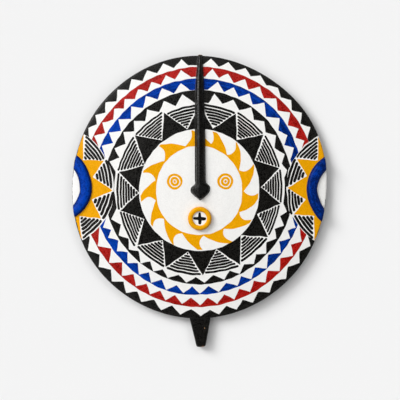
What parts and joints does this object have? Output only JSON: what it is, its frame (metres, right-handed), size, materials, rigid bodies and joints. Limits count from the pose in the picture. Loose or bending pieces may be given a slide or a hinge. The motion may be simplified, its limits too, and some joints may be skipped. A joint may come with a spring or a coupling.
{
  "type": "sun mask",
  "caption": "Round domed wooden sun mask, hollow behind, with a raised nose ridge, mouth ring and side bows, painted in tooth rings and hatched rays, with a tapered grip below.",
  "frame": {"origin": "middle of the outline's box, on the plane of the flat band round the back, which the mask lies on", "axes": "+Z out of the painted face, +Y towards the crown, +X to the viewer's right"},
  "size_m": [0.4506, 0.517, 0.049],
  "materials": {
    "painted_wood": "satin paint in white, black, red, blue and yellow on carved wood, bare wood behind"
  },
  "bodies": {
    "root": {"sun_mask": "painted_wood"}
  },
  "joints": []
}
